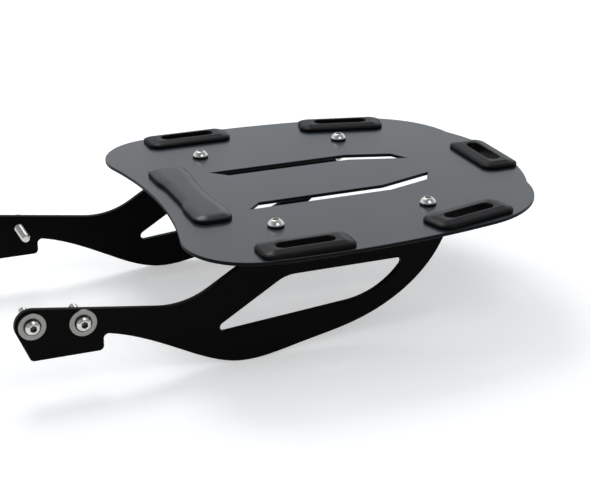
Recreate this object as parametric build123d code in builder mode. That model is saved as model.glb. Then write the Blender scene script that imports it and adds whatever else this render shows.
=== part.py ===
"""Motorcycle luggage rack: a flat steel deck on two folded side brackets, with moulded rubber strap loops.

Millimetres. The origin lies on the motorcycle's centre plane, midway between the left and right strut bolts.
+X points to the rear of the motorcycle, +Y to its right-hand side and +Z up.
"""
import os
from math import atan2, cos, degrees, radians, sin, tan

from build123d import *

# Strut fixing, one pair of bolts a side
strut_bolt_spacing = 40.0
strut_bolt_fall = 5.0  # degrees that the line of bolts falls towards the rear
strut_bolt_length = 35.0
strut_washer_diameter = 22.0
strut_washer_thickness = 1.6

# Deck
deck_height = 47.5  # top face above the strut bolts' midpoint
deck_thickness = 3.0
deck_front = 117.0  # front edge on the centre line
deck_rear = 444.0  # rear edge on the centre line
deck_width = 334.0
front_sweep = 30.0  # how far the front corners reach ahead of the front edge's middle
front_corner_radius = 55.0
side_bow = 12.5  # how far the side edge stands out past its front corner
side_taper = 14.7  # how far the side edge has come in where the rear corner starts
rear_corner_reach = 87.0  # from the start of the rear corner to the rear edge
rear_notch_offset = 77.0  # notch from the centre line
rear_notch_depth = 16.8  # notch ahead of the rear edge
notch_radius = 5.0
deck_edge_break = 0.5

# Slits in the deck
slit_front = 181.0
slit_offset = 50.4  # outer edge from the centre line
slit_width = 13.0
slit_bend_setback = 134.0  # kink in the outer edge, ahead of the deck's rear edge
slit_bend_angle = 17.5
slit_tail = 42.0  # outer edge behind the kink

# Side brackets, cut from plate and folded inwards under the deck
bracket_inset = 54.5  # outer faces from the deck's widest points
bracket_thickness = 5.0
bracket_edge_break = 0.5
bend_radius = 4.0  # inside the fold
bend_margin = 4.0  # upright web left below the fold
flange_front_margin = 27.0  # ahead of the front deck screws
flange_rear_margin = 10.0  # behind the rear deck screws
flange_edge = 13.0  # from the deck screws to the flange's free edge
flange_corner = 6.0
lug_radius = 13.5  # round the front strut bolt
lug_depth = 28.0  # lower edge below the bolts' midpoint
lug_toe_margin = 2.0  # lower front corner ahead of the front bolt
lug_heel_margin = 16.0  # rear edge behind the rear bolt
lug_round_end = 207.0  # degrees round the front bolt where the round gives way to the toe
arm_rise = 8.3  # degrees that the arm's upper edge climbs to the front
arm_depth = 21.0  # height of the arm where it leaves the lug
branch_rise = 31.0  # degrees that the arm climbs to the deck
branch_blend = 65.0
keel_mid = 97.0
keel_mid_depth = 38.0  # below the bolts' midpoint
keel_low = 147.0
keel_low_depth = 57.5  # below the bolts' midpoint
rear_arm_edge = [(131.5, 50.6), (80.0, 38.5), (29.0, 10.0)]  # ahead of the flange's rear end, below the bolts
rail_depth = 33.5  # from the flange's top face to the opening's upper edge
opening_apex = 119.0
opening_apex_depth = 31.0  # below the bolts' midpoint
opening_rear_margin = 38.0  # upper rear corner ahead of the flange's rear end
opening_rear_bow = (61.0, 11.3)  # ahead of the flange's rear end, below the bolts
opening_floor = (90.0, 20.7)  # ahead of the flange's rear end, below the bolts
opening_branch_blend = 30.0
corner_round = 4.0

# Deck screws
screw_front = 187.0
screw_pitch = 136.0  # front pair to rear pair
screw_length = 22.0
seal_washer_thickness = 1.5
nut_washer_diameter = 16.0
nut_washer_thickness = 1.6
nut_washer_land = 0.5  # from the fold's inside to the nut washers
nut_across_flats = 13.0
nut_height = 8.0
nut_collar_height = 2.2
nut_chamfer = 1.2

# Screws and bolts share one size
shank_diameter = 8.0
thread_relief = 0.2  # thread below the plain shank, all round
head_diameter = 14.0
head_height = 4.4
head_rim = 0.8
head_flat = 6.8  # across the flat on top
head_dome = 7.5  # radius of the dome between rim and flat
socket_across_flats = 5.0
socket_depth = 2.6
thread_chamfer = 1.0
hole_clearance = 0.25  # all round
washer_clearance = 0.2  # all round
nut_clearance = 0.05  # all round
washer_edge_break = 0.3

# Strap loops
loop_length = 79.0
loop_width = 34.0
loop_corner = 10.0
loop_wall = 2.8  # upright edge above the deck
loop_bevel_width = 3.6
loop_bevel_rise = 1.6
loop_crown_width = 4.5  # gentle slope from the bevel up towards the slot
loop_crown_rise = 0.6
slot_length = 50.0
slot_width = 12.5
loop_neck_wall = 3.5  # rubber round the slot where it passes through the deck
loop_fit = 0.2  # neck to deck opening, all round
loop_lip_overlap = 4.0  # lower lip beyond the neck
loop_lip_thickness = 3.0
loop_edge_break = 0.6
front_loop_x = 191.5
front_loop_margin = 2.5  # front loops to the deck's widest point
rear_loop_setback = 103.0  # middle of the rear side loops ahead of the deck's rear edge
rear_loop_margin = 16.5  # rear side loops to the deck's widest point
rear_loop_turn = 14.5
centre_loop_margin = 2.5  # rear loop to the deck's rear edge

# Front pad
pad_setback = 27.5  # middle of the pad behind the deck's front edge
pad_length = 148.0
pad_corner = 11.0
pad_lobe_width = 33.4
pad_waist = 28.4
pad_waist_run = 18.0  # straight waist each side of the centre line
pad_blend_run = 24.0  # from the straight waist to the full width of a lobe
pad_wall = 4.0  # upright edge above the deck
pad_bevel_width = 7.0
pad_bevel_rise = 2.5
pad_round = 6.0

# Derived places
deck_under = deck_height - deck_thickness
deck_half = deck_width / 2
web_outer = deck_half - bracket_inset
screw_inset = bracket_thickness + bend_radius + nut_washer_land + nut_washer_diameter / 2
screw_y = web_outer - screw_inset
screw_rear = screw_front + screw_pitch
screw_stations = [screw_front, screw_rear]
flange_front = screw_front - flange_front_margin
flange_rear = screw_rear + flange_rear_margin
flange_width = screw_inset + flange_edge
flange_under = deck_under - bracket_thickness
fold_radius = bend_radius + bracket_thickness
fold_bottom = deck_under - fold_radius - bend_margin
bolt_reach = strut_bolt_spacing / 2 * cos(radians(strut_bolt_fall))
bolt_drop = strut_bolt_spacing / 2 * sin(radians(strut_bolt_fall))
strut_bolts = [(-bolt_reach, bolt_drop), (bolt_reach, -bolt_drop)]
thread_radius = shank_diameter / 2 - thread_relief
screw_hole_radius = shank_diameter / 2 + hole_clearance
washer_hole_radius = shank_diameter / 2 + washer_clearance
loop_height = loop_wall + loop_bevel_rise + loop_crown_rise
neck_length = slot_length + 2 * loop_neck_wall
neck_width = slot_width + 2 * loop_neck_wall
front_loop_y = deck_half - front_loop_margin - loop_width / 2
rear_loop_x = deck_rear - rear_loop_setback
rear_loop_y = deck_half - rear_loop_margin - loop_width / 2
centre_loop_x = deck_rear - centre_loop_margin - loop_width / 2

# Middle and turn of each strap loop on the deck
strap_loops = {
    "front_left_strap_loop": (front_loop_x, -front_loop_y, 0),
    "front_right_strap_loop": (front_loop_x, front_loop_y, 0),
    "rear_left_strap_loop": (rear_loop_x, -rear_loop_y, rear_loop_turn),
    "rear_right_strap_loop": (rear_loop_x, rear_loop_y, -rear_loop_turn),
    "rear_centre_strap_loop": (centre_loop_x, 0, 90),
}


def finish_piece(piece, name):
    """Label a finished piece and write it to its own file."""
    piece.part.label = name
    export_step(piece.part, f"parts/{name}.step")


def slit_points(side):
    """Corners of one kinked slit, both ends cut at 45 degrees; side is 1 on the right and -1 on the left."""
    turn = radians(slit_bend_angle)
    along = Vector(cos(turn), -sin(turn))
    across = Vector(-sin(turn), -cos(turn)) * slit_width
    kink = Vector(deck_rear - slit_bend_setback, slit_offset)
    inner_kink = kink + Vector(-slit_width * tan(turn / 2), -slit_width)
    corners = [
        Vector(slit_front, slit_offset),
        kink,
        kink + along * slit_tail,
        kink + along * (slit_tail + slit_width) + across,
        inner_kink,
        Vector(slit_front + slit_width, slit_offset - slit_width),
    ]
    return [(corner.X, side * corner.Y) for corner in corners]


def button_screw(length, grip):
    """Button-head socket screw, head up, with its seat at the origin; grip is the plain part of the shank."""
    with BuildPart() as screw:
        with BuildSketch(Plane.XZ):
            with BuildLine():
                Polyline((0, head_height), (0, 0), (head_diameter / 2, 0), (head_diameter / 2, head_rim))
                RadiusArc((head_diameter / 2, head_rim), (head_flat / 2, head_height), -head_dome)
                Line((head_flat / 2, head_height), (0, head_height))
            make_face()
        revolve(axis=Axis.Z)
        with BuildSketch(Plane.XY.offset(head_height)):
            RegularPolygon(socket_across_flats / 2, 6, major_radius=False)
        extrude(amount=-socket_depth, mode=Mode.SUBTRACT)
        with BuildSketch():
            Circle(shank_diameter / 2)
        extrude(amount=-grip)
        with BuildSketch(Plane.XY.offset(-grip)):
            Circle(thread_radius)
        extrude(amount=grip - length)
        chamfer(screw.edges().group_by(Axis.Z)[0], thread_chamfer)
    return screw.part


def flat_washer(diameter, thickness):
    """Flat washer lying on the origin's plane, with the rolled edge of its stamping on top."""
    with BuildPart() as washer:
        with BuildSketch():
            Circle(diameter / 2)
            Circle(washer_hole_radius, mode=Mode.SUBTRACT)
        extrude(amount=thickness)
        outer_rims = washer.edges().filter_by(GeomType.CIRCLE).group_by(SortBy.RADIUS)[-1]
        chamfer(outer_rims.sort_by(Axis.Z)[-1], washer_edge_break)
    return washer.part


def locking_nut():
    """Hexagon locking nut with a round collar, hanging from the origin's plane."""
    corner_radius = nut_across_flats / 2 / cos(radians(30))
    face_radius = corner_radius - nut_chamfer
    bevel = nut_chamfer * tan(radians(30))
    hexagon_height = nut_height - nut_collar_height
    with BuildPart() as nut:
        with BuildSketch():
            RegularPolygon(nut_across_flats / 2, 6, major_radius=False)
        extrude(amount=-hexagon_height)
        with BuildSketch(Plane.XZ):
            with BuildLine():
                Polyline((0, -hexagon_height), (0, 0), (face_radius, 0), (corner_radius, -bevel))
                Line((corner_radius, -bevel), (corner_radius, bevel - hexagon_height))
                Line((corner_radius, bevel - hexagon_height), (face_radius, -hexagon_height))
                Line((face_radius, -hexagon_height), (0, -hexagon_height))
            make_face()
        revolve(axis=Axis.Z, mode=Mode.INTERSECT)
        with BuildSketch(Plane.XY.offset(-hexagon_height)):
            Circle(face_radius - nut_chamfer / 2)
        extrude(amount=-nut_collar_height)
        chamfer(nut.edges().group_by(Axis.Z)[0], nut_chamfer)
        with BuildSketch():
            Circle(thread_radius + nut_clearance)
        extrude(amount=-nut_height, mode=Mode.SUBTRACT)
    return nut.part


os.makedirs("parts", exist_ok=True)

# Deck: one cut plate with softened edges
corner = (deck_front - front_sweep, deck_half - side_bow)
shoulder = (deck_rear - rear_corner_reach, deck_half - side_taper)
crest = ((corner[0] + shoulder[0]) / 2, deck_half)
notch = (deck_rear - rear_notch_depth, rear_notch_offset)
with BuildPart() as deck:
    with BuildSketch(Plane.XY.offset(deck_under)) as deck_outline:
        with BuildLine():
            ThreePointArc((corner[0], -corner[1]), (deck_front, 0), corner)
            side_edge = ThreePointArc(corner, crest, shoulder)
            rear_corner = TangentArc(shoulder, notch, tangent=side_edge % 1)
            ThreePointArc(notch, (deck_rear, 0), (notch[0], -notch[1]))
            mirror(side_edge, about=Plane.XZ)
            mirror(rear_corner, about=Plane.XZ)
        make_face()
        fillet(deck_outline.vertices().sort_by(lambda vertex: abs(vertex.X - notch[0]))[:2], notch_radius)
        fillet(deck_outline.vertices().group_by(Axis.X)[0], front_corner_radius)
        for side in (-1, 1):
            with BuildLine():
                Polyline(*slit_points(side), close=True)
            make_face(mode=Mode.SUBTRACT)
    extrude(amount=deck_thickness)
    chamfer(deck.faces().filter_by(Axis.Z).edges(), deck_edge_break)
    with BuildSketch(Plane.XY.offset(deck_under)):
        for x, y, turn in strap_loops.values():
            with Locations(Location((x, y, 0), (0, 0, turn))):
                SlotOverall(neck_length + 2 * loop_fit, neck_width + 2 * loop_fit)
        with Locations(((screw_front + screw_rear) / 2, 0)):
            with GridLocations(screw_pitch, 2 * screw_y, 2, 2):
                Circle(screw_hole_radius)
    extrude(amount=deck_thickness, mode=Mode.SUBTRACT)
finish_piece(deck, "deck")

# Side bracket: an upright web with an arm to the struts, and a flange folded inwards from its upper edge
rise = radians(arm_rise)
climb = radians(branch_rise)
round_end = radians(lug_round_end)
front_bolt = Vector(*strut_bolts[0])
lug_crown = front_bolt + Vector(sin(rise), cos(rise)) * lug_radius
lug_nose = front_bolt + Vector(-lug_radius, 0)
lug_chin = front_bolt + Vector(cos(round_end), sin(round_end)) * lug_radius
lug_toe = (-bolt_reach - lug_toe_margin, -lug_depth)
lug_heel = (bolt_reach + lug_heel_margin, -lug_depth)
arm_line = lug_crown.Y + lug_crown.X * tan(rise)
branch_line = fold_bottom - flange_front * tan(climb)
branch_x = (arm_line - branch_line) / (tan(climb) + tan(rise))
branch_foot = (branch_x, arm_line - branch_x * tan(rise))
branch_top = (flange_front, fold_bottom)
arm_root = (lug_heel[0], arm_line - lug_heel[0] * tan(rise) - arm_depth)
rear_arm = [(flange_rear - ahead, -below) for ahead, below in rear_arm_edge]
keel = [(keel_mid, -keel_mid_depth), (keel_low, -keel_low_depth)]
opening_top = deck_under - rail_depth
apex = (opening_apex, -opening_apex_depth)
branch_corner = (opening_apex + (opening_top + opening_apex_depth) / tan(climb), opening_top)
rear_corner = (flange_rear - opening_rear_margin, opening_top)
rear_bow = (flange_rear - opening_rear_bow[0], -opening_rear_bow[1])
floor = (flange_rear - opening_floor[0], -opening_floor[1])
with BuildPart() as left_side_bracket:
    with BuildSketch(Plane.XZ.offset(web_outer)) as web:
        with BuildLine():
            Polyline(lug_crown, branch_foot, branch_top, (flange_front, deck_under))
            Polyline((flange_front, deck_under), (flange_rear, deck_under), (flange_rear, fold_bottom))
            Spline(arm_root, *keel, *rear_arm, (flange_rear, fold_bottom))
            Polyline(arm_root, lug_heel, lug_toe, lug_chin)
            ThreePointArc(lug_chin, lug_nose, lug_crown)
        make_face()
        fillet(web.vertices().sort_by_distance(branch_foot)[0], branch_blend)
        for point in (branch_top, arm_root, lug_heel, lug_toe):
            fillet(web.vertices().sort_by_distance(point)[0], corner_round)
        with Locations(*strut_bolts):
            Circle(screw_hole_radius, mode=Mode.SUBTRACT)
    extrude(amount=-bracket_thickness)
    with BuildSketch(Plane.XZ.offset(web_outer)) as opening:
        with BuildLine():
            Polyline(floor, apex, branch_corner, rear_corner)
            ThreePointArc(rear_corner, rear_bow, floor)
        make_face()
        fillet(opening.vertices().sort_by_distance(branch_corner)[0], opening_branch_blend)
        for point in (apex, rear_corner):
            fillet(opening.vertices().sort_by_distance(point)[0], corner_round)
    extrude(amount=-bracket_thickness, mode=Mode.SUBTRACT)
    with BuildSketch(Plane.XY.offset(deck_under)) as flange:
        with Locations(((flange_front + flange_rear) / 2, flange_width / 2 - web_outer)):
            Rectangle(flange_rear - flange_front, flange_width)
        fillet(flange.vertices().group_by(Axis.Y)[-1], flange_corner)
        with Locations(*[(x, -screw_y) for x in screw_stations]):
            Circle(screw_hole_radius, mode=Mode.SUBTRACT)
    extrude(amount=-bracket_thickness)
    outer_corner = (screw_front, -web_outer, deck_under)
    fillet(left_side_bracket.edges().filter_by(Axis.X).sort_by_distance(outer_corner)[0], fold_radius)
    inner_corner = (screw_front, bracket_thickness - web_outer, flange_under)
    fillet(left_side_bracket.edges().filter_by(Axis.X).sort_by_distance(inner_corner)[0], bend_radius)
    rims = []
    for web_face in left_side_bracket.faces().filter_by(Axis.Y).sort_by(SortBy.AREA)[-2:]:
        rims.extend(web_face.outer_wire().edges().sort_by(Axis.Z)[:-1])
        rims.extend(web_face.inner_wires().sort_by(SortBy.LENGTH)[-1].edges())
    chamfer(rims, bracket_edge_break)
finish_piece(left_side_bracket, "left_side_bracket")

with BuildPart() as right_side_bracket:
    mirror(left_side_bracket.part, about=Plane.XZ)
finish_piece(right_side_bracket, "right_side_bracket")

# Strap loop: a lip above the deck, a neck through it and a lip below, round one long slot
with BuildPart() as strap_loop:
    with BuildSketch():
        RectangleRounded(loop_length, loop_width, loop_corner)
    extrude(amount=loop_wall)
    for step_rise, step_width in ((loop_bevel_rise, loop_bevel_width), (loop_crown_rise, loop_crown_width)):
        step_angle = degrees(atan2(step_width, step_rise))
        extrude(strap_loop.faces().sort_by(Axis.Z)[-1], amount=step_rise, taper=step_angle)
    with BuildSketch():
        SlotOverall(neck_length, neck_width)
    extrude(amount=-deck_thickness)
    with BuildSketch(Plane.XY.offset(-deck_thickness)):
        SlotOverall(neck_length + 2 * loop_lip_overlap, neck_width + 2 * loop_lip_overlap)
    extrude(amount=-loop_lip_thickness)
    with BuildSketch(Plane.XY.offset(loop_height)):
        SlotOverall(slot_length, slot_width)
    extrude(amount=-loop_height - deck_thickness - loop_lip_thickness, mode=Mode.SUBTRACT)
    chamfer(strap_loop.faces().sort_by(Axis.Z)[-1].edges(), loop_edge_break)

for loop_name, (x, y, turn) in strap_loops.items():
    with BuildPart() as placed_loop:
        with Locations(Location((x, y, deck_height), (0, 0, turn))):
            add(strap_loop.part)
    finish_piece(placed_loop, loop_name)

# Front pad: a bevelled block with a slight waist and round corners, drawn as a quarter of its outline
pad_plane = Plane((deck_front + pad_setback, 0, deck_height))
waist_edge = pad_waist / 2
lobe_edge = pad_lobe_width / 2
lobe_start = pad_waist_run + pad_blend_run
pad_end = pad_length / 2
with BuildPart() as front_pad:
    with BuildSketch(pad_plane):
        with BuildLine() as quarter:
            Line((waist_edge, 0), (waist_edge, pad_waist_run))
            Spline((waist_edge, pad_waist_run), (lobe_edge, lobe_start), tangents=((0, 1), (0, 1)))
            Line((lobe_edge, lobe_start), (lobe_edge, pad_end - pad_corner))
            TangentArc((lobe_edge, pad_end - pad_corner), (lobe_edge - pad_corner, pad_end), tangent=(0, 1))
            Line((lobe_edge - pad_corner, pad_end), (0, pad_end))
            mirror(quarter.line, about=Plane.YZ)
            mirror(quarter.line, about=Plane.XZ)
        make_face()
    extrude(amount=pad_wall)
    pad_bevel_angle = degrees(atan2(pad_bevel_width, pad_bevel_rise))
    extrude(front_pad.faces().sort_by(Axis.Z)[-1], amount=pad_bevel_rise, taper=pad_bevel_angle)
    fillet(front_pad.faces().sort_by(Axis.Z)[-1].edges(), pad_round)
finish_piece(front_pad, "front_pad")

# Fasteners, a group for each side of the rack
washer_under = flange_under - nut_washer_thickness
deck_stack = {
    "deck_screws": (button_screw(screw_length, seal_washer_thickness), deck_height + seal_washer_thickness),
    "seal_washers": (flat_washer(head_diameter, seal_washer_thickness), deck_height),
    "nut_washers": (flat_washer(nut_washer_diameter, nut_washer_thickness), washer_under),
    "deck_nuts": (locking_nut(), washer_under),
}
strut_grip = strut_washer_thickness + bracket_thickness
strut_stack = {
    "strut_bolts": (button_screw(strut_bolt_length, strut_grip), web_outer + strut_washer_thickness),
    "strut_washers": (flat_washer(strut_washer_diameter, strut_washer_thickness), web_outer),
}
for side_name, side in {"left": -1, "right": 1}.items():
    for stack_name, (form, height) in deck_stack.items():
        with BuildPart() as deck_fasteners:
            with Locations(*[(x, side * screw_y, height) for x in screw_stations]):
                add(form)
        finish_piece(deck_fasteners, f"{side_name}_{stack_name}")
    for stack_name, (form, reach) in strut_stack.items():
        with BuildPart() as strut_fasteners:
            with Locations(*[Location((x, side * reach, z), (-90 * side, 0, 0)) for x, z in strut_bolts]):
                add(form)
        finish_piece(strut_fasteners, f"{side_name}_{stack_name}")
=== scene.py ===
"""Studio scene of a motorcycle luggage rack: a black steel deck on folded brackets, with rubber fittings.

Metres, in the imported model's own frame: +X to the rear, +Y to the right-hand side, +Z up.
"""
from __future__ import annotations

import logging
from dataclasses import dataclass, replace
from enum import Enum
from math import asin, cos, radians, sin, sqrt, tau
from typing import Mapping, Sequence, Union

import bmesh
import bpy
from mathutils import Matrix, Vector

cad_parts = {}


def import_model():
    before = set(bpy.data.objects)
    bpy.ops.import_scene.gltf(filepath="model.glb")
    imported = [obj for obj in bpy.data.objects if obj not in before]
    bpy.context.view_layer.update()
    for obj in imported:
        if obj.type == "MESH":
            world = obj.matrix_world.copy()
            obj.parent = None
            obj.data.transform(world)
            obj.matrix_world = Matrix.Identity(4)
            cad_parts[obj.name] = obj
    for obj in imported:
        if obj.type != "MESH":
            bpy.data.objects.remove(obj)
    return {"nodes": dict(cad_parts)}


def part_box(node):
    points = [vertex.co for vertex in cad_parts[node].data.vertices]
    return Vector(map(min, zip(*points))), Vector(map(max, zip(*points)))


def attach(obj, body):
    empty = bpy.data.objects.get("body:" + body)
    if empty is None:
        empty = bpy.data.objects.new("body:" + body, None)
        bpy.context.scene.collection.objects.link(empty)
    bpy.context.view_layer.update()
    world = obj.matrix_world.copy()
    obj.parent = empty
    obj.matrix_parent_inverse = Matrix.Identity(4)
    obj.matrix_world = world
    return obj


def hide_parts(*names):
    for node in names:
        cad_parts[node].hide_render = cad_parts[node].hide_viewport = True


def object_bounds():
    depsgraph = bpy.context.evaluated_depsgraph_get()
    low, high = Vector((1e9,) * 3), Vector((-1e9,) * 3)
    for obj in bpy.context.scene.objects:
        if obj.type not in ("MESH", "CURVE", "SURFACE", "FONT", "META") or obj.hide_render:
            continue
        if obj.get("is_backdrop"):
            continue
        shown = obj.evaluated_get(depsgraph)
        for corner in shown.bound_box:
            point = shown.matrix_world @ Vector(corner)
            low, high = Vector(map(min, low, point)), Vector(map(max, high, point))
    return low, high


LOG = logging.getLogger("luggage_rack")
BODY = "root"
MM = 0.001
ORIGIN = Vector((0.0, 0.0, 0.0))
UP = Vector((0.0, 0.0, 1.0))
QUARTER_TURN = radians(90.0)
SHARP_EDGE = radians(32.0)  # edges sharper than this keep a crisp line
BRIDGE_LIFT = 50.0 * MM * UP  # far more than the step between any two rings
LEVEL_SLACK = 0.001 * MM  # heights closer than this are level
WELD_REACH = 0.0005 * MM  # vertices closer than this are merged
UNIT_HALF = 0.5  # half the side of a square of side 1
NOISE_MIDDLE = 0.5  # the value that a noise swings about
MIX_FIRST, MIX_SECOND, MIX_RESULT = 6, 7, 2  # colour sockets of a Mix node

Colour = tuple[float, float, float]
Ring = list[bmesh.types.BMEdge]


class Side(Enum):
    """The rack's two sides, with the sign of Y on each."""

    LEFT = -1
    RIGHT = 1

    @property
    def word(self) -> str:
        """The side's name as the nodes spell it."""
        return self.name.lower()


class LoopPlace(Enum):
    """Where a strap loop sits: its node and its turn about Z, in degrees."""

    FRONT_LEFT = ("front_left_strap_loop", 0.0)
    FRONT_RIGHT = ("front_right_strap_loop", 0.0)
    REAR_LEFT = ("rear_left_strap_loop", 14.5)
    REAR_RIGHT = ("rear_right_strap_loop", -14.5)
    REAR_CENTRE = ("rear_centre_strap_loop", 90.0)

    @property
    def node(self) -> str:
        """The loop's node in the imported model."""
        return self.value[0]

    @property
    def turn(self) -> float:
        """The loop's turn about Z, in radians."""
        return radians(self.value[1])


class Slot(Enum):
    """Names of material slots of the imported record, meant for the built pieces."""

    RUBBER = "moulded_rubber"
    STEEL = "stainless"


@dataclass(frozen=True)
class Grain:
    """An even noise over a surface."""

    size: float  # of one grain
    detail: float = 2.0  # how many finer layers it has
    rough: float = 0.5  # how strong the finer layers are


@dataclass(frozen=True)
class Rounding:
    """How an edge is rounded over."""

    reach: float  # over the faces beside the edge
    segments: int = 4


class Wire:
    """An output socket that takes part in sums: each operator adds a Math node to its graph."""

    def __init__(self, graph: ShaderGraph, socket: bpy.types.NodeSocket) -> None:
        """Keep the socket and the graph that it belongs to.

        Args:
            graph: the graph that new nodes go into.
            socket: the output socket to wrap.
        """
        self.graph = graph
        self.socket = socket

    def _math(self, operation: str, first: Operand, second: Operand) -> Wire:
        """Add one Math node.

        Args:
            operation: the node's operation.
            first: its first value.
            second: its second value.

        Returns:
            The node's result.
        """
        return self.graph.add("ShaderNodeMath", {"operation": operation}, {0: first, 1: second})

    def __add__(self, other: Operand) -> Wire:
        """This value plus another."""
        return self._math("ADD", self, other)

    def __radd__(self, other: Operand) -> Wire:
        """Another value plus this one."""
        return self._math("ADD", other, self)

    def __sub__(self, other: Operand) -> Wire:
        """This value less another."""
        return self._math("SUBTRACT", self, other)

    def __rsub__(self, other: Operand) -> Wire:
        """Another value less this one."""
        return self._math("SUBTRACT", other, self)

    def __mul__(self, other: Operand) -> Wire:
        """This value times another."""
        return self._math("MULTIPLY", self, other)

    def __rmul__(self, other: Operand) -> Wire:
        """Another value times this one."""
        return self._math("MULTIPLY", other, self)

    def __abs__(self) -> Wire:
        """This value without its sign."""
        return self.graph.add("ShaderNodeMath", {"operation": "ABSOLUTE"}, {0: self})

    def most(self, other: Operand) -> Wire:
        """The larger of this value and another."""
        return self._math("MAXIMUM", self, other)


Operand = Union[Wire, float, int]


class ShaderGraph:
    """A node tree under construction."""

    def __init__(self, tree: bpy.types.NodeTree) -> None:
        """Start from an empty tree.

        Args:
            tree: the tree to fill.
        """
        self.tree = tree
        tree.nodes.clear()

    def add(self, kind: str, settings: Mapping[str, object] | None = None,
            inputs: Mapping[Union[str, int], object] | None = None, output: Union[str, int] = 0) -> Wire:
        """Add one node, with its settings first and its sockets after them.

        Args:
            kind: the node's type.
            settings: attributes to set.
            inputs: a value or a wire for each named or numbered input socket.
            output: the output socket to hand back.

        Returns:
            The chosen output socket, or the first input's wire for a node that has no output.
        """
        node = self.tree.nodes.new(kind)
        for name, value in (settings or {}).items():
            setattr(node, name, value)
        for name, value in (inputs or {}).items():
            if isinstance(value, Wire):
                self.tree.links.new(value.socket, node.inputs[name])
            else:
                node.inputs[name].default_value = value
        return Wire(self, node.outputs[output] if node.outputs else node.inputs[0])

    def place(self) -> Wire:
        """Object coordinates, which are metres in the model's frame."""
        return self.add("ShaderNodeTexCoord", output="Object")

    def noise(self, grain: Grain) -> Wire:
        """Noise over the surface.

        Args:
            grain: the noise's size and layers.

        Returns:
            Values from 0 to 1, about the noise's middle.
        """
        inputs = {
            "Vector": self.place(),
            "Scale": 1.0 / grain.size,
            "Detail": grain.detail,
            "Roughness": grain.rough,
        }
        return self.add("ShaderNodeTexNoise", {}, inputs, "Fac")

    def sway(self, level: float, *swings: tuple[float, Wire]) -> Operand:
        """A level that noises push up and down.

        Args:
            level: the middle level.
            swings: how far a noise pushes the level in all, with that noise.

        Returns:
            The swaying level.
        """
        total: Operand = level
        for reach, noise in swings:
            total = total + reach * (noise - NOISE_MIDDLE)
        return total

    def above(self, height: float, fade: float) -> Wire:
        """A mask of what lies above a height.

        Args:
            height: where the mask reaches 1.
            fade: how far below that it starts from 0.

        Returns:
            Values from 0 to 1.
        """
        rise = self.add("ShaderNodeSeparateXYZ", {}, {"Vector": self.place()}, "Z")
        return self.ramp(rise, height - fade, height)

    def aside(self, start: float, end: float) -> Wire:
        """A mask of what lies far from the rack's middle plane, on either side.

        Args:
            start: the distance where the mask leaves 0.
            end: the distance where it reaches 1.

        Returns:
            Values from 0 to 1.
        """
        offset = abs(self.add("ShaderNodeSeparateXYZ", {}, {"Vector": self.place()}, "Y"))
        return self.ramp(offset, start, end)

    def ramp(self, value: Wire, start: float, end: float, low: float = 0.0, high: float = 1.0) -> Wire:
        """A smooth step.

        Args:
            value: what the step depends on.
            start: the value where it leaves its low level.
            end: the value where it reaches its high level.
            low: the level before the step.
            high: the level after it.

        Returns:
            Values from low to high.
        """
        inputs = {"Value": value, "From Min": start, "From Max": end, "To Min": low, "To Max": high}
        return self.add("ShaderNodeMapRange", {"interpolation_type": "SMOOTHSTEP"}, inputs)

    def blend(self, factor: Operand, first: Union[Colour, Wire], second: Union[Colour, Wire]) -> Wire:
        """A colour between two others.

        Args:
            factor: 0 for the first and 1 for the second.
            first: a linear colour or a colour's wire.
            second: a linear colour or a colour's wire.

        Returns:
            The mixed colour.
        """
        colours = [colour if isinstance(colour, Wire) else (*colour, 1.0) for colour in (first, second)]
        inputs = {"Factor": factor, MIX_FIRST: colours[0], MIX_SECOND: colours[1]}
        return self.add("ShaderNodeMix", {"data_type": "RGBA"}, inputs, MIX_RESULT)

    def bump(self, height: Wire, depth: float) -> Wire:
        """A normal from a height.

        Args:
            height: heights from 0 to 1.
            depth: what 1 stands for, in metres.

        Returns:
            The bumped normal.
        """
        return self.add("ShaderNodeBump", {}, {"Strength": 1.0, "Distance": depth, "Height": height})


def new_material(name: str) -> tuple[bpy.types.Material, ShaderGraph]:
    """Make an empty node material.

    Args:
        name: the material's name.

    Returns:
        The material and its graph.
    """
    material = bpy.data.materials.new(name)
    material.use_nodes = True
    return material, ShaderGraph(material.node_tree)


def surface(graph: ShaderGraph, inputs: Mapping[str, object]) -> None:
    """Close a graph with one Principled shader.

    Args:
        graph: the material's graph.
        inputs: the shader's values and wires.
    """
    shader = graph.add("ShaderNodeBsdfPrincipled", {}, inputs)
    graph.add("ShaderNodeOutputMaterial", {}, {"Surface": shader})


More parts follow.
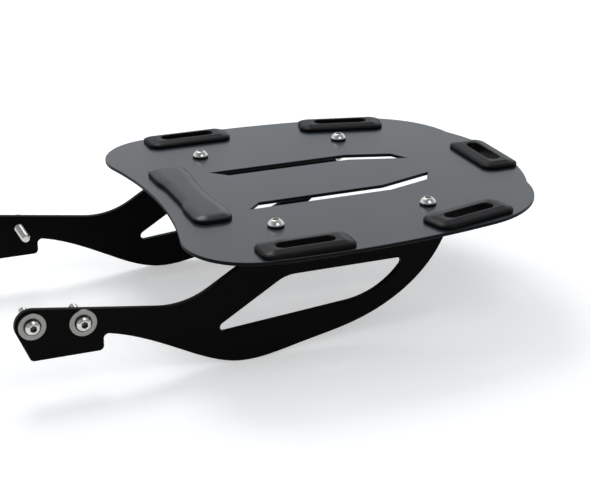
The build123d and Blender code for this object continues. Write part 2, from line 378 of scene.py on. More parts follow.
@dataclass(frozen=True)
class PlateCoat:
    """Black powder coat on the deck: glossy on the upper face, duller on the cut edges and below; the upper
    face's colour holds a painted bluish reflection, and the cut edges and underside a painted shade.
    """

    # upper face: the coat's black with a painted bluish reflection
    colour: Colour = (0.0115, 0.0165, 0.0205)
    bloom: Colour = (0.0160, 0.0225, 0.0280)  # where the coat lies a little thicker, with the same painted bluish reflection
    edge: Colour = (0.004, 0.004, 0.004)  # painted shade on the cut edges and underside
    roughness: float = 0.42
    roughness_swing: float = 0.06  # with the cloud, and again with the peel
    specular: float = 0.06
    gloss: float = 0.66
    gloss_cloud_swing: float = 0.16
    gloss_peel_swing: float = 0.06
    gloss_roughness: float = 0.22
    upper_face_depth: float = 0.1 * MM  # below the upper face, where the gloss and the painted reflection are full
    upper_face_fade: float = 0.4 * MM
    peel: Grain = Grain(0.9 * MM, detail=1.0, rough=0.4)  # ripples of the orange peel
    peel_depth: float = 0.006 * MM
    cloud: Grain = Grain(60.0 * MM, detail=3.0)  # wide change of sheen

    def material(self, top: float) -> bpy.types.Material:
        """Build the coat's material.

        Args:
            top: the height of the upper face.

        Returns:
            The new material.
        """
        material, graph = new_material("deck_powder_coat")
        cloud = graph.noise(self.cloud)
        peel = graph.noise(self.peel)
        glossy = graph.above(top - self.upper_face_depth, self.upper_face_fade)
        weight = graph.sway(self.gloss, (self.gloss_cloud_swing, cloud), (self.gloss_peel_swing, peel))
        surface(graph, {
            # the upper face's mask sets painted shade on the cut edges and underside, and the painted
            # reflection on top
            "Base Color": graph.blend(glossy, self.edge, graph.blend(cloud, self.colour, self.bloom)),
            "Roughness": graph.sway(self.roughness, (self.roughness_swing, cloud),
                                    (self.roughness_swing, peel)),
            "Specular IOR Level": self.specular,
            "Coat Weight": glossy * weight,
            "Coat Roughness": self.gloss_roughness,
            "Normal": graph.bump(peel, self.peel_depth),
        })
        return material


@dataclass(frozen=True)
class BracketCoat:
    """Satin black powder coat on the brackets, with a fine orange peel, its colour made darker than the
    deck's coat of the same paint: painted shade.
    """

    # darker than the deck's coat of the same paint: painted shade
    colour: Colour = (0.0022, 0.0021, 0.0023)
    bloom: Colour = (0.0042, 0.0040, 0.0043)
    roughness: float = 0.34
    cloud_swing: float = 0.10  # of the roughness
    peel_swing: float = 0.06  # of the roughness
    specular: float = 0.03
    peel: Grain = Grain(1.1 * MM, detail=1.0, rough=0.4)
    peel_depth: float = 0.010 * MM
    cloud: Grain = Grain(35.0 * MM, detail=3.0)

    def material(self) -> bpy.types.Material:
        """Build the coat's material.

        Returns:
            The new material.
        """
        material, graph = new_material("bracket_powder_coat")
        cloud = graph.noise(self.cloud)
        peel = graph.noise(self.peel)
        surface(graph, {
            "Base Color": graph.blend(cloud, self.colour, self.bloom),
            "Roughness": graph.sway(self.roughness, (self.cloud_swing, cloud), (self.peel_swing, peel)),
            "Specular IOR Level": self.specular,
            "Normal": graph.bump(peel, self.peel_depth),
        })
        return material


@dataclass(frozen=True)
class RubberFinish:
    """Moulded black rubber with a fine grain and a faint grey bloom, rubbed smooth on its raised faces."""

    name: str
    colour: Colour
    bloom: Colour
    roughness: float
    specular: float
    shine: float = 0.0  # weight of the smooth film on the raised faces
    shine_swing: float = 0.4  # share of that weight that the patches change
    shine_roughness: float = 0.26
    shine_rise: float = 3.7 * MM  # height above the deck where the film is full
    shine_fade: float = 0.8 * MM
    grain: Grain = Grain(0.35 * MM, rough=0.6)
    grain_depth: float = 0.012 * MM
    grain_swing: float = 0.08  # of the roughness
    patch: Grain = Grain(9.0 * MM, detail=4.0, rough=0.6)  # patches of the bloom
    patch_swing: float = 0.10  # of the roughness

    def material(self, deck_top: float) -> bpy.types.Material:
        """Build the rubber's material.

        Args:
            deck_top: the height of the deck's upper face.

        Returns:
            The new material.
        """
        material, graph = new_material(self.name)
        patch = graph.noise(self.patch)
        grain = graph.noise(self.grain)
        raised = graph.above(deck_top + self.shine_rise, self.shine_fade)
        surface(graph, {
            "Base Color": graph.blend(patch, self.colour, self.bloom),
            "Roughness": graph.sway(self.roughness, (self.patch_swing, patch), (self.grain_swing, grain)),
            "Specular IOR Level": self.specular,
            "Coat Weight": raised * (self.shine * graph.sway(1.0, (self.shine_swing, patch))),
            "Coat Roughness": self.shine_roughness,
            "Normal": graph.bump(grain, self.grain_depth),
        })
        return material


@dataclass(frozen=True)
class SteelFinish:
    """Bright stainless steel with a worn, slightly uneven polish, and a painted shade and dark reflection
    round the heads' feet where asked.
    """

    name: str
    colour: Colour
    tint: Colour  # where the polish is duller
    roughness: float
    stain: Colour = (0.045, 0.043, 0.038)  # painted shade and dark reflection round a head's foot
    stain_full: float = 1.9 * MM  # height of the full painted shade above the seat, and its fade along the shank
    stain_end: float = 3.1 * MM  # height where the painted shade ends
    wear: Grain = Grain(2.5 * MM, detail=3.0, rough=0.6)
    wear_swing: float = 0.12  # of the roughness
    scratch: Grain = Grain(0.25 * MM, detail=1.0)
    scratch_swing: float = 0.05  # of the roughness
    scratch_depth: float = 0.003 * MM

    def material(self, shaded_seat: float | None = None) -> bpy.types.Material:
        """Build the steel's material.

        Args:
            shaded_seat: distance from the middle plane of the faces that heads with painted shade round
                their feet sit on, if any.

        Returns:
            The new material.
        """
        material, graph = new_material(self.name)
        wear = graph.noise(self.wear)
        scratch = graph.noise(self.scratch)
        colour = graph.blend(wear, self.colour, self.tint)
        if shaded_seat is not None:
            # painted shade and dark reflection on the head's lower skirt and the shank near its seat
            head = graph.aside(shaded_seat + self.stain_full, shaded_seat + self.stain_end)
            shank = 1.0 - graph.aside(shaded_seat - self.stain_full, shaded_seat)
            colour = graph.blend(head.most(shank), self.stain, colour)
        surface(graph, {
            "Base Color": colour,
            "Metallic": 1.0,
            "Roughness": graph.sway(self.roughness, (self.wear_swing, wear), (self.scratch_swing, scratch)),
            "Normal": graph.bump(scratch, self.scratch_depth),
        })
        return material


class Finishes:
    """Every finish of the rack, each made into a material once."""

    def __init__(self, deck_top: float, strut_seat: float) -> None:
        """Make the materials.

        Args:
            deck_top: the height of the deck's upper face.
            strut_seat: distance from the middle plane of the faces that the strut bolts' heads sit on.
        """
        self.deck = PlateCoat().material(deck_top)
        self.bracket = BracketCoat().material()
        loop_rubber = RubberFinish(
            "strap_loop_rubber", colour=(0.0034, 0.0032, 0.0034), bloom=(0.0068, 0.0064, 0.0068),
            roughness=0.42, specular=0.04, shine=0.22,
        )
        # the pad's bluish cast is a painted reflection of the cool surroundings on black rubber
        pad_rubber = RubberFinish(
            "front_pad_rubber", colour=(0.0055, 0.0068, 0.0078), bloom=(0.0095, 0.0112, 0.0125),
            roughness=0.40, specular=0.04, shine=0.54, shine_rise=3.9 * MM, shine_fade=1.1 * MM,
        )
        seal_rubber = RubberFinish(
            "seal_rubber", colour=(0.003, 0.003, 0.003), bloom=(0.005, 0.005, 0.005),
            roughness=0.60, specular=0.08,
        )
        bright_steel = SteelFinish(
            "bright_stainless", colour=(0.70, 0.69, 0.66), tint=(0.58, 0.57, 0.54), roughness=0.18,
        )
        # darker than the screws' stainless: a duller polish, with a colour painted darker than the steel's
        # own: painted shade
        washer_steel = SteelFinish(
            "washer_stainless", colour=(0.30, 0.295, 0.275), tint=(0.24, 0.235, 0.22), roughness=0.36,
        )
        self.loop = loop_rubber.material(deck_top)
        self.pad = pad_rubber.material(deck_top)
        self.seal = seal_rubber.material(deck_top)
        self.steel = bright_steel.material()
        # the strut bolts' steel, with painted shade and dark reflection round their heads' feet
        self.strut_steel = replace(bright_steel, name="strut_stainless").material(strut_seat)
        self.washer = washer_steel.material()


class Draft:
    """A mesh under construction, shaped by operators."""

    def __init__(self) -> None:
        """Start empty."""
        self.bm = bmesh.new()

    def rounded_ring(self, length: float, width: float, corner: float, height: float,
                     segments: int) -> Ring:
        """Lay out a rectangle with round corners, level and centred on the origin.

        Args:
            length: along X.
            width: along Y.
            corner: the corners' radius.
            height: where the ring lies.
            segments: edges round each corner.

        Returns:
            The ring's edges.
        """
        square = bmesh.ops.create_grid(self.bm, x_segments=1, y_segments=1, size=UNIT_HALF)["verts"]
        bmesh.ops.scale(self.bm, vec=(length, width, 1.0), verts=square)
        bmesh.ops.translate(self.bm, vec=(0.0, 0.0, height), verts=square)
        face = self.round_corners(square, corner, segments)
        ring = list(face.edges)
        bmesh.ops.delete(self.bm, geom=[face], context="FACES_ONLY")
        return ring

    def round_corners(self, corners: Sequence[bmesh.types.BMVert], radius: float,
                      segments: int) -> bmesh.types.BMFace:
        """Round some corners of a flat face.

        Args:
            corners: the corners to round.
            radius: how far the rounding reaches along the edges.
            segments: edges round each corner.

        Returns:
            The face.
        """
        rounded = bmesh.ops.bevel(self.bm, geom=list(corners), offset=radius, offset_type="OFFSET",
                                  segments=segments, profile=0.5, affect="VERTICES", material=-1)
        return rounded["verts"][0].link_faces[0]

    def bridge(self, first: Ring, second: Ring) -> None:
        """Join two rings with a band of faces.

        Rings in one plane can be paired crosswise, so the second ring is lifted clear meanwhile.

        Args:
            first: one ring's edges.
            second: the other ring's edges.
        """
        verts = list({vert for edge in second for vert in edge.verts})
        bmesh.ops.translate(self.bm, vec=BRIDGE_LIFT, verts=verts)
        bmesh.ops.bridge_loops(self.bm, edges=first + second)
        bmesh.ops.translate(self.bm, vec=-BRIDGE_LIFT, verts=verts)

    def level_ring(self, height: float) -> Ring:
        """The edges that lie level at a height."""
        level = {vert for vert in self.bm.verts if abs(vert.co.z - height) < LEVEL_SLACK}
        return [edge for edge in self.bm.edges if level.issuperset(edge.verts)]

    def soften(self, edges: Ring, rounding: Rounding) -> None:
        """Round over some edges.

        Args:
            edges: the edges to round.
            rounding: how far and how finely.
        """
        bmesh.ops.bevel(self.bm, geom=edges, offset=rounding.reach, offset_type="OFFSET",
                        segments=rounding.segments, profile=0.5, affect="EDGES", material=-1)

    def close(self) -> None:
        """Merge the seams and poles and point every face outwards."""
        bmesh.ops.remove_doubles(self.bm, verts=self.bm.verts, dist=WELD_REACH)
        bmesh.ops.recalc_face_normals(self.bm, faces=self.bm.faces)

    def move(self, place: Matrix) -> None:
        """Put the whole draft in its place."""
        bmesh.ops.transform(self.bm, matrix=place, verts=self.bm.verts)

    def copy_in(self, other: Draft, place: Matrix) -> None:
        """Add a copy of another draft in a place of its own.

        Args:
            other: the draft to copy, which stays as it is.
            place: where the copy goes.
        """
        mesh = bpy.data.meshes.new("copy")
        other.bm.to_mesh(mesh)
        mesh.transform(place)
        self.bm.from_mesh(mesh)
        bpy.data.meshes.remove(mesh)

    def show(self, name: str, node: str, slot: Slot, material: bpy.types.Material) -> bpy.types.Object:
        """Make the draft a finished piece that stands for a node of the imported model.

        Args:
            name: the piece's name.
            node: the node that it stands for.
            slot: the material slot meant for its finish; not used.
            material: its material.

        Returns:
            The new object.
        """
        mesh = bpy.data.meshes.new(name)
        for face in self.bm.faces:
            face.smooth = True
        self.bm.to_mesh(mesh)
        self.bm.free()
        mesh.set_sharp_from_angle(angle=SHARP_EDGE)
        mesh.materials.append(material)
        piece = bpy.data.objects.new(name, mesh)
        bpy.context.scene.collection.objects.link(piece)
        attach(piece, BODY)
        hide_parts(node)
        LOG.info("built %s for %s, %d faces", name, node, len(mesh.polygons))
        return piece


def dress(node: bpy.types.Object, material: bpy.types.Material) -> None:
    """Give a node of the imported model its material.

    Args:
        node: the node's object.
        material: what it is made of.
    """
    node.data.materials.clear()
    node.data.materials.append(material)
    LOG.info("dressed %s in %s", node.name, material.name)


@dataclass
class StrapLoop:
    """Moulded rubber loop round a long slot: a bevelled lip above the deck, a neck and a lip below."""

    place: LoopPlace
    length: float = 79.0 * MM
    width: float = 34.0 * MM
    corner: float = 10.0 * MM
    wall: float = 2.4 * MM  # upright edge above the deck
    bevel_width: float = 3.6 * MM
    bevel_rise: float = 1.3 * MM
    crown_width: float = 5.5 * MM  # slope from the bevel up towards the slot
    crown_rise: float = 1.3 * MM
    slot_length: float = 50.0 * MM
    slot_width: float = 12.5 * MM
    neck_wall: float = 3.5 * MM
    lip_overlap: float = 4.0 * MM
    lip_thickness: float = 3.0 * MM
    foot_edge: Rounding = Rounding(0.3 * MM)
    wall_edge: Rounding = Rounding(0.4 * MM)
    shoulder_edge: Rounding = Rounding(0.5 * MM)
    crown_edge: Rounding = Rounding(0.5 * MM)
    slot_top_edge: Rounding = Rounding(0.45 * MM)
    slot_foot_edge: Rounding = Rounding(0.6 * MM)
    lower_lip_edge: Rounding = Rounding(0.8 * MM)
    lower_lip_top_edge: Rounding = Rounding(0.3 * MM)
    neck_edge: Rounding = Rounding(0.2 * MM)
    corner_segments: int = 10
    round_end: float = 0.498  # corner of a round end by its width: just under half keeps corners apart

    def lip_ring(self, draft: Draft, inset: float, height: float) -> Ring:
        """Lay out the upper lip's outline.

        Args:
            draft: the loop's mesh.
            inset: how far inside the lip's foot.
            height: above the deck.

        Returns:
            The ring's edges.
        """
        length, width = self.length - 2 * inset, self.width - 2 * inset
        return draft.rounded_ring(length, width, self.corner - inset, height, self.corner_segments)

    def slot_ring(self, draft: Draft, grow: float, height: float) -> Ring:
        """Lay out an outline with full round ends, as the slot has.

        Args:
            draft: the loop's mesh.
            grow: how far outside the slot's wall.
            height: above the deck.

        Returns:
            The ring's edges.
        """
        length, width = self.slot_length + 2 * grow, self.slot_width + 2 * grow
        return draft.rounded_ring(length, width, self.round_end * width, height, self.corner_segments)

    def build(self, deck_top: float, deck_thickness: float,
              material: bpy.types.Material) -> bpy.types.Object:
        """Build the loop round its closed section: from the lip's foot over the top and back up the neck.

        Args:
            deck_top: the height of the deck's upper face.
            deck_thickness: what the neck passes through.
            material: the loop's rubber.

        Returns:
            The new piece.
        """
        draft = Draft()
        shoulder = self.wall + self.bevel_rise
        crown = shoulder + self.crown_rise
        deck_under = -deck_thickness
        bottom = deck_under - self.lip_thickness
        lower_lip = self.neck_wall + self.lip_overlap
        # Each ring of the section with its rounding
        section = [
            (self.lip_ring(draft, 0.0, 0.0), self.foot_edge),
            (self.lip_ring(draft, 0.0, self.wall), self.wall_edge),
            (self.lip_ring(draft, self.bevel_width, shoulder), self.shoulder_edge),
            (self.lip_ring(draft, self.bevel_width + self.crown_width, crown), self.crown_edge),
            (self.slot_ring(draft, 0.0, crown), self.slot_top_edge),
            (self.slot_ring(draft, 0.0, bottom), self.slot_foot_edge),
            (self.slot_ring(draft, lower_lip, bottom), self.lower_lip_edge),
            (self.slot_ring(draft, lower_lip, deck_under), self.lower_lip_top_edge),
            (self.slot_ring(draft, self.neck_wall, deck_under), self.neck_edge),
            (self.slot_ring(draft, self.neck_wall, 0.0), self.neck_edge),
        ]
        rings = [ring for ring, _ in section]
        for first, second in zip(rings, rings[1:] + rings[:1]):
            draft.bridge(first, second)
        for ring, rounding in section:
            draft.soften(ring, rounding)
        draft.close()
        low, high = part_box(self.place.node)
        middle = (low + high) / 2
        middle.z = deck_top
        draft.move(Matrix.Translation(middle) @ Matrix.Rotation(self.place.turn, 4, "Z"))
        return draft.show(f"{self.place.node}_rubber", self.place.node, Slot.RUBBER, material)


@dataclass
class FrontPad:
    """Moulded rubber pad across the deck's front: a bevelled block with a waist and round corners."""

    node: str = "front_pad"
    length: float = 143.0 * MM
    lobe_width: float = 33.4 * MM
    waist: float = 28.4 * MM
    waist_run: float = 18.0 * MM  # straight waist each side of the middle
    blend_run: float = 24.0 * MM  # from the straight waist to the full width of a lobe
    corner: float = 11.0 * MM
    wall: float = 3.0 * MM
    bevel_width: float = 7.0 * MM
    bevel_rise: float = 2.5 * MM
    foot_edge: Rounding = Rounding(0.4 * MM, 2)
    wall_edge: Rounding = Rounding(0.7 * MM, 4)
    top_edge: Rounding = Rounding(2.4 * MM, 6)
    corner_segments: int = 10
    bend_segments: int = 8
    bend_share: float = 0.999  # of a bend's run, so that the roundings of two bends stay apart

    def outline(self, draft: Draft) -> bmesh.types.BMFace:
        """Lay out the pad's foot as one face, with the waist's bends and the corners rounded.

        Args:
            draft: the pad's mesh.

        Returns:
            The face.
        """
        lobe, waist, end = self.lobe_width / 2, self.waist / 2, self.length / 2
        step = (lobe - waist) / 2
        half_run = self.blend_run / 2
        bend = (half_run ** 2 + step ** 2) / (2 * half_run)  # from a bend to the end of its rounding
        near, far = self.waist_run + bend, self.waist_run + self.blend_run - bend
        quarter = [(waist, near), (lobe, far), (lobe, end)]
        right = [(x, -y) for x, y in reversed(quarter)] + quarter
        corners = right + [(-x, y) for x, y in reversed(right)]
        verts = [draft.bm.verts.new((x, y, 0.0)) for x, y in corners]
        draft.bm.faces.new(verts)
        bends = [vert for vert in verts if abs(vert.co.y) < end - self.corner]
        ends = [vert for vert in verts if vert not in bends]
        draft.round_corners(bends, self.bend_share * bend, self.bend_segments)
        return draft.round_corners(ends, self.corner, self.corner_segments)

    def build(self, deck_top: float, material: bpy.types.Material) -> bpy.types.Object:
        """Raise the pad's wall and bevel from its outline.

        Args:
            deck_top: the height of the deck's upper face.
            material: the pad's rubber.

        Returns:
            The new piece.
        """
        draft = Draft()
        foot = self.outline(draft)
        raised = bmesh.ops.extrude_face_region(draft.bm, geom=[foot])["geom"]
        top = [item for item in raised if isinstance(item, bmesh.types.BMFace)]
        rim = [item for item in raised if isinstance(item, bmesh.types.BMVert)]
        bmesh.ops.translate(draft.bm, vec=self.wall * UP, verts=rim)
        bmesh.ops.inset_region(draft.bm, faces=top, thickness=self.bevel_width, depth=self.bevel_rise,
                               use_even_offset=True)
        draft.soften(draft.level_ring(0.0), self.foot_edge)
        draft.soften(draft.level_ring(self.wall), self.wall_edge)
        draft.soften(draft.level_ring(self.wall + self.bevel_rise), self.top_edge)
        draft.close()
        low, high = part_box(self.node)
        draft.move(Matrix.Translation(((low.x + high.x) / 2, (low.y + high.y) / 2, deck_top)))
        return draft.show("front_pad_rubber", self.node, Slot.RUBBER, material)


@dataclass
class ButtonScrew:
    """Button-head socket screw with its seat at the origin, head up: a turned body and a rolled thread."""

    length: float
    grip: float  # plain shank below the head
    head_diameter: float = 14.0 * MM
    head_height: float = 4.4 * MM
    head_rim: float = 0.8 * MM
    head_flat: float = 6.8 * MM
    head_dome: float = 7.5 * MM
    socket_across_flats: float = 5.0 * MM
    socket_depth: float = 2.6 * MM
    shank_diameter: float = 8.0 * MM
    core_diameter: float = 6.6 * MM
    crest_diameter: float = 7.8 * MM
    pitch: float = 1.25 * MM
    tip_chamfer: float = 1.0 * MM
    rim_edge: Rounding = Rounding(0.25 * MM, 3)
    flat_edge: Rounding = Rounding(0.4 * MM, 3)
    socket_edge: Rounding = Rounding(0.15 * MM, 1)
    socket_sides: int = 6
    ridge_sink: float = 0.05 * MM  # foot of the thread's ridge inside the core
    ridge_foot: float = 0.44  # half the ridge's width at its foot, in pitches
    ridge_land: float = 0.07  # half its width at the crest, in pitches
    ridge_start: float = 0.75  # below the grip, in pitches
    bare_run: float = 2.0  # core without a ridge in all, in pitches
    steps: int = 48  # round the body
    dome_steps: int = 8
    ridge_steps: int = 24  # in a turn of the thread

    def body(self, draft: Draft) -> None:
        """Turn the head's dome, the shank and the thread's core in one spin.

        Args:
            draft: the screw's mesh.
        """
        flat = Vector((self.head_flat / 2, 0.0, self.head_height))
        rim = Vector((self.head_diameter / 2, 0.0, self.head_rim))
        chord = rim - flat
        inward = Vector((chord.z, 0.0, -chord.x)).normalized()
        centre = (flat + rim) / 2 + inward * sqrt(self.head_dome ** 2 - chord.length_squared / 4)
        sweep = 2 * asin(chord.length / 2 / self.head_dome)
        start = draft.bm.verts.new(flat)
        arc = bmesh.ops.spin(draft.bm, geom=[start], axis=(0.0, 1.0, 0.0), cent=centre, angle=sweep,
                             steps=self.dome_steps)
        last = next(item for item in arc["geom_last"] if isinstance(item, bmesh.types.BMVert))
        shank, core = self.shank_diameter / 2, self.core_diameter / 2
        tip = -self.length
        below_rim = (
            (rim.x, 0.0), (shank, 0.0), (shank, -self.grip), (core, core - shank - self.grip),
            (core, tip + self.tip_chamfer), (core - self.tip_chamfer, tip), (0.0, tip),
        )
        for radius, height in below_rim:
            last = bmesh.ops.extrude_vert_indiv(draft.bm, verts=[last])["verts"][0]
            last.co = (radius, 0.0, height)
        profile = [*draft.bm.verts, *draft.bm.edges]
        bmesh.ops.spin(draft.bm, geom=profile, axis=UP, cent=ORIGIN, angle=tau, steps=self.steps,
                       use_merge=True)

    def socket(self, draft: Draft) -> None:
        """Sink the hexagon socket into the head's flat.

        Args:
            draft: the screw's mesh, open at the flat.
        """
        flat_ring = draft.level_ring(self.head_height)
        corner = self.socket_across_flats / 2 / cos(tau / 2 / self.socket_sides)
        hexagon = bmesh.ops.create_circle(draft.bm, segments=self.socket_sides, radius=corner)["verts"]
        bmesh.ops.translate(draft.bm, vec=self.head_height * UP, verts=hexagon)
        sides = list({edge for vert in hexagon for edge in vert.link_edges})
        bmesh.ops.subdivide_edges(draft.bm, edges=sides, cuts=self.steps // self.socket_sides - 1)
        mouth = [edge for edge in draft.level_ring(self.head_height) if edge not in flat_ring]
        draft.bridge(flat_ring, mouth)
        sunk = bmesh.ops.extrude_edge_only(draft.bm, edges=mouth)["geom"]
        floor = [item for item in sunk if isinstance(item, bmesh.types.BMVert)]
        floor_ring = [item for item in sunk if isinstance(item, bmesh.types.BMEdge)]
        bmesh.ops.translate(draft.bm, vec=-self.socket_depth * UP, verts=floor)
        bmesh.ops.holes_fill(draft.bm, edges=floor_ring, sides=0)
        draft.soften(mouth, self.socket_edge)
        draft.soften(flat_ring, self.flat_edge)

    def thread(self, draft: Draft) -> None:
        """Wind the thread's ridge round the core.

        Args:
            draft: the screw's mesh.
        """
        root, crest = self.core_diameter / 2 - self.ridge_sink, self.crest_diameter / 2
        foot, land = self.ridge_foot * self.pitch, self.ridge_land * self.pitch
        start = -self.grip - self.ridge_start * self.pitch
        turns = int((self.length - self.grip - self.bare_run * self.pitch) / self.pitch)
        corners = ((root, foot), (crest, land), (crest, -land), (root, -foot))
        verts = [draft.bm.verts.new((radius, 0.0, start + rise)) for radius, rise in corners]
        face = draft.bm.faces.new(verts)
        bmesh.ops.spin(draft.bm, geom=[*verts, *face.edges, face], axis=UP, cent=ORIGIN,
                       dvec=-self.pitch / self.ridge_steps * UP, angle=tau * turns,
                       steps=self.ridge_steps * turns)

    def draft(self) -> Draft:
        """Build one screw.

        Returns:
            The finished draft.
        """
        draft = Draft()
        self.body(draft)
        self.socket(draft)
        draft.soften(draft.level_ring(self.head_rim), self.rim_edge)
        self.thread(draft)
        draft.close()
        return draft


@dataclass
class SideFasteners:
    """One side's deck screws and strut bolts."""

    side: Side
    deck_screw: ButtonScrew
    strut_bolt: ButtonScrew

    def deck_seats(self, node: str) -> list[Matrix]:
        """Seats of the deck screws, from their node's box.

        Args:
            node: the screws' node.

        Returns:
            One place for each screw.
        """
        low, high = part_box(node)
        radius = self.deck_screw.head_diameter / 2
        middle, seat = (low.y + high.y) / 2, high.z - self.deck_screw.head_height
        return [Matrix.Translation((x, middle, seat)) for x in (low.x + radius, high.x - radius)]

    def strut_seats(self, node: str) -> list[Matrix]:
        """Seats of the strut bolts, from their node's box: the front one is the higher.

        Args:
            node: the bolts' node.

        Returns:
            One place for each bolt.
        """
        low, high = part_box(node)
        radius = self.strut_bolt.head_diameter / 2
        outermost = high.y if self.side is Side.RIGHT else low.y
        seat = outermost - self.side.value * self.strut_bolt.head_height
        outwards = Matrix.Rotation(-QUARTER_TURN * self.side.value, 4, "X")
        front = Vector((low.x + radius, seat, high.z - radius))
        rear = Vector((high.x - radius, seat, low.z + radius))
        return [Matrix.Translation(place) @ outwards for place in (front, rear)]

    def build(self, finishes: Finishes) -> None:
        """Build both groups.

        Args:
            finishes: the rack's finishes.
        """
        deck_node, strut_node = f"{self.side.word}_deck_screws", f"{self.side.word}_strut_bolts"
        groups = ((deck_node, self.deck_screw, self.deck_seats(deck_node), finishes.steel),
                  (strut_node, self.strut_bolt, self.strut_seats(strut_node), finishes.strut_steel))
        for node, screw, seats, material in groups:
            group, one = Draft(), screw.draft()
            for seat in seats:
                group.copy_in(one, seat)
            one.bm.free()
            group.show(f"{node}_threaded", node, Slot.STEEL, material)


@dataclass(frozen=True)
class SoftBox:
    """Square soft lamp."""

    name: str
    place: Vector
    aim: Vector  # what it points at
    size: float  # its side
    power: float  # in watts

    def hang(self) -> None:
        """Hang the lamp in the scene."""
        light = bpy.data.lights.new(self.name, "AREA")
        light.size = self.size
        light.energy = self.power
        lamp = bpy.data.objects.new(self.name, light)
        lamp.location = self.place
        lamp.rotation_euler = (self.aim - self.place).to_track_quat("-Z", "Y").to_euler()
        bpy.context.scene.collection.objects.link(lamp)


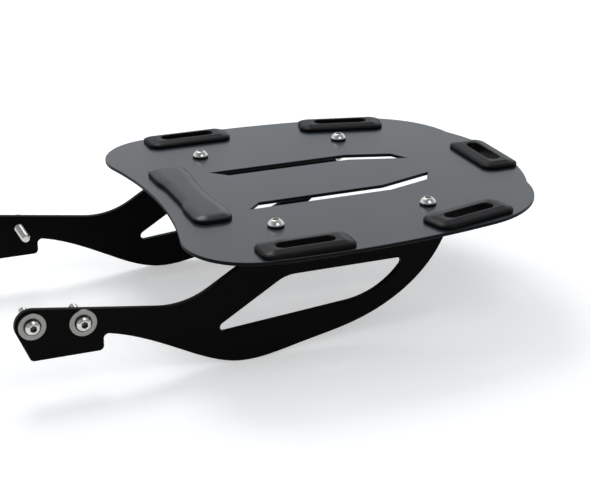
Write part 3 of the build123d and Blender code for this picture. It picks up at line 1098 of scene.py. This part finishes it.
@dataclass
class Studio:
    """Pale floor, soft lamps, white surroundings and the camera at the photograph's angle."""

    floor_reach: float = 12.0
    floor_segments: int = 96
    floor_colour: Colour = (0.86, 0.86, 0.86)
    floor_lift: float = 0.40  # added where the floor is seen
    horizon_light: float = 1.0  # surroundings up to the low band
    zenith_light: float = 0.45
    low_band: float = 0.40  # sine of the elevation where the surroundings start to dim
    high_band: float = 0.90
    cool: Colour = (0.96, 1.00, 1.04)  # tint of the surroundings
    camera_side_light: float = 0.45  # share that is left behind the camera
    near_band: float = -0.5  # Y of the directions between which that share rises to 1
    far_band: float = 0.3
    lamps: tuple[SoftBox, ...] = (
        SoftBox("far_box", Vector((0.20, 1.00, 1.45)), Vector((0.22, 0.0, 0.0)), size=0.7, power=9.0),
        SoftBox("near_box", Vector((0.45, -1.00, 1.35)), Vector((0.1, 0.0, 0.0)), size=0.9, power=4.0),
    )
    camera_place: Vector = Vector((-0.25264, -1.24455, 0.51677))
    camera_azimuth: float = 21.642  # degrees from +Y towards +X
    camera_fall: float = 21.314  # degrees below the horizon
    camera_roll: float = 0.299  # degrees
    focal_pixels: float = 1634.13
    image_width: float = 590.0  # pixels
    sensor: float = 36.0  # width in millimetres

    def build(self, floor_height: float) -> None:
        """Set up the whole studio.

        Args:
            floor_height: where the floor lies.
        """
        bpy.context.scene.view_settings.view_transform = "Standard"
        self.floor(floor_height)
        self.surround()
        for lamp in self.lamps:
            lamp.hang()
        self.camera()

    def seen(self, graph: ShaderGraph) -> Wire:
        """Tell what is seen from the light that falls on the rack.

        Args:
            graph: the graph to ask in.

        Returns:
            1 for what is seen directly, in a gloss or through glass, and 0 for light on the rack.
        """
        kinds = ("Is Camera Ray", "Is Glossy Ray", "Is Transmission Ray")
        camera, glossy, through = (graph.add("ShaderNodeLightPath", output=kind) for kind in kinds)
        return camera.most(glossy).most(through)

    def floor(self, height: float) -> None:
        """Lay the floor.

        Args:
            height: where it lies.
        """
        bm = bmesh.new()
        bmesh.ops.create_circle(bm, cap_ends=True, segments=self.floor_segments, radius=self.floor_reach)
        bmesh.ops.translate(bm, vec=height * UP, verts=bm.verts)
        mesh = bpy.data.meshes.new("floor")
        bm.to_mesh(mesh)
        bm.free()
        floor = bpy.data.objects.new("floor", mesh)
        bpy.context.scene.collection.objects.link(floor)
        material, graph = new_material("pale_floor")
        matt = graph.add("ShaderNodeBsdfDiffuse", {}, {"Color": (*self.floor_colour, 1.0)})
        glow = graph.add("ShaderNodeEmission", {}, {"Strength": self.floor_lift * self.seen(graph)})
        both = graph.add("ShaderNodeAddShader", {}, {0: matt, 1: glow})
        graph.add("ShaderNodeOutputMaterial", {}, {"Surface": both})
        mesh.materials.append(material)
        floor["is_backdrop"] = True

    def surround(self) -> None:
        """White surroundings, brightest round the horizon and dimmer overhead."""
        world = bpy.data.worlds.new("white_surround")
        bpy.context.scene.world = world
        world.use_nodes = True
        graph = ShaderGraph(world.node_tree)
        direction = graph.add("ShaderNodeTexCoord", output="Generated")
        rise = graph.add("ShaderNodeSeparateXYZ", {}, {"Vector": direction}, "Z")
        strength = graph.ramp(rise, self.low_band, self.high_band, self.horizon_light, self.zenith_light)
        behind = graph.add("ShaderNodeSeparateXYZ", {}, {"Vector": direction}, "Y")
        share = graph.ramp(behind, self.near_band, self.far_band, self.camera_side_light, 1.0)
        light = {"Color": (*self.cool, 1.0), "Strength": strength * share}
        sky = graph.add("ShaderNodeBackground", {}, light)
        graph.add("ShaderNodeOutputWorld", {}, {"Surface": sky})

    def camera(self) -> None:
        """Place the camera as the photograph was taken."""
        data = bpy.data.cameras.new("camera")
        data.sensor_fit = "HORIZONTAL"
        data.sensor_width = self.sensor
        data.lens = self.focal_pixels * self.sensor / self.image_width
        turn, fall = radians(self.camera_azimuth), radians(self.camera_fall)
        look = Vector((sin(turn) * cos(fall), cos(turn) * cos(fall), -sin(fall)))
        camera = bpy.data.objects.new("camera", data)
        level = look.to_track_quat("-Z", "Y").to_matrix().to_4x4()
        roll = Matrix.Rotation(radians(-self.camera_roll), 4, "Z")
        camera.matrix_world = Matrix.Translation(self.camera_place) @ level @ roll
        bpy.context.scene.collection.objects.link(camera)
        bpy.context.scene.camera = camera


def main() -> None:
    """Load the frame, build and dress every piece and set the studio."""
    logging.basicConfig(level=logging.INFO, format="%(name)s: %(message)s")
    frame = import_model()
    solid_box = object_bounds()
    nodes = frame["nodes"]
    deck_low, deck_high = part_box("deck")
    deck_top, deck_thickness = deck_high.z, deck_high.z - deck_low.z
    deck_screw = ButtonScrew(length=22.0 * MM, grip=1.5 * MM)
    strut_bolt = ButtonScrew(length=35.0 * MM, grip=6.6 * MM)
    _, strut_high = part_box("right_strut_bolts")
    finishes = Finishes(deck_top, strut_high.y - strut_bolt.head_height)
    dress(nodes["deck"], finishes.deck)
    for side in Side:
        dress(nodes[f"{side.word}_side_bracket"], finishes.bracket)
        dress(nodes[f"{side.word}_seal_washers"], finishes.seal)
        dress(nodes[f"{side.word}_deck_nuts"], finishes.steel)
        for group in ("nut_washers", "strut_washers"):
            dress(nodes[f"{side.word}_{group}"], finishes.washer)
        SideFasteners(side, deck_screw, strut_bolt).build(finishes)
    for place in LoopPlace:
        StrapLoop(place).build(deck_top, deck_thickness, finishes.loop)
    FrontPad().build(deck_top, finishes.pad)
    Studio().build(solid_box[0].z)


if __name__ == "__main__":
    main()
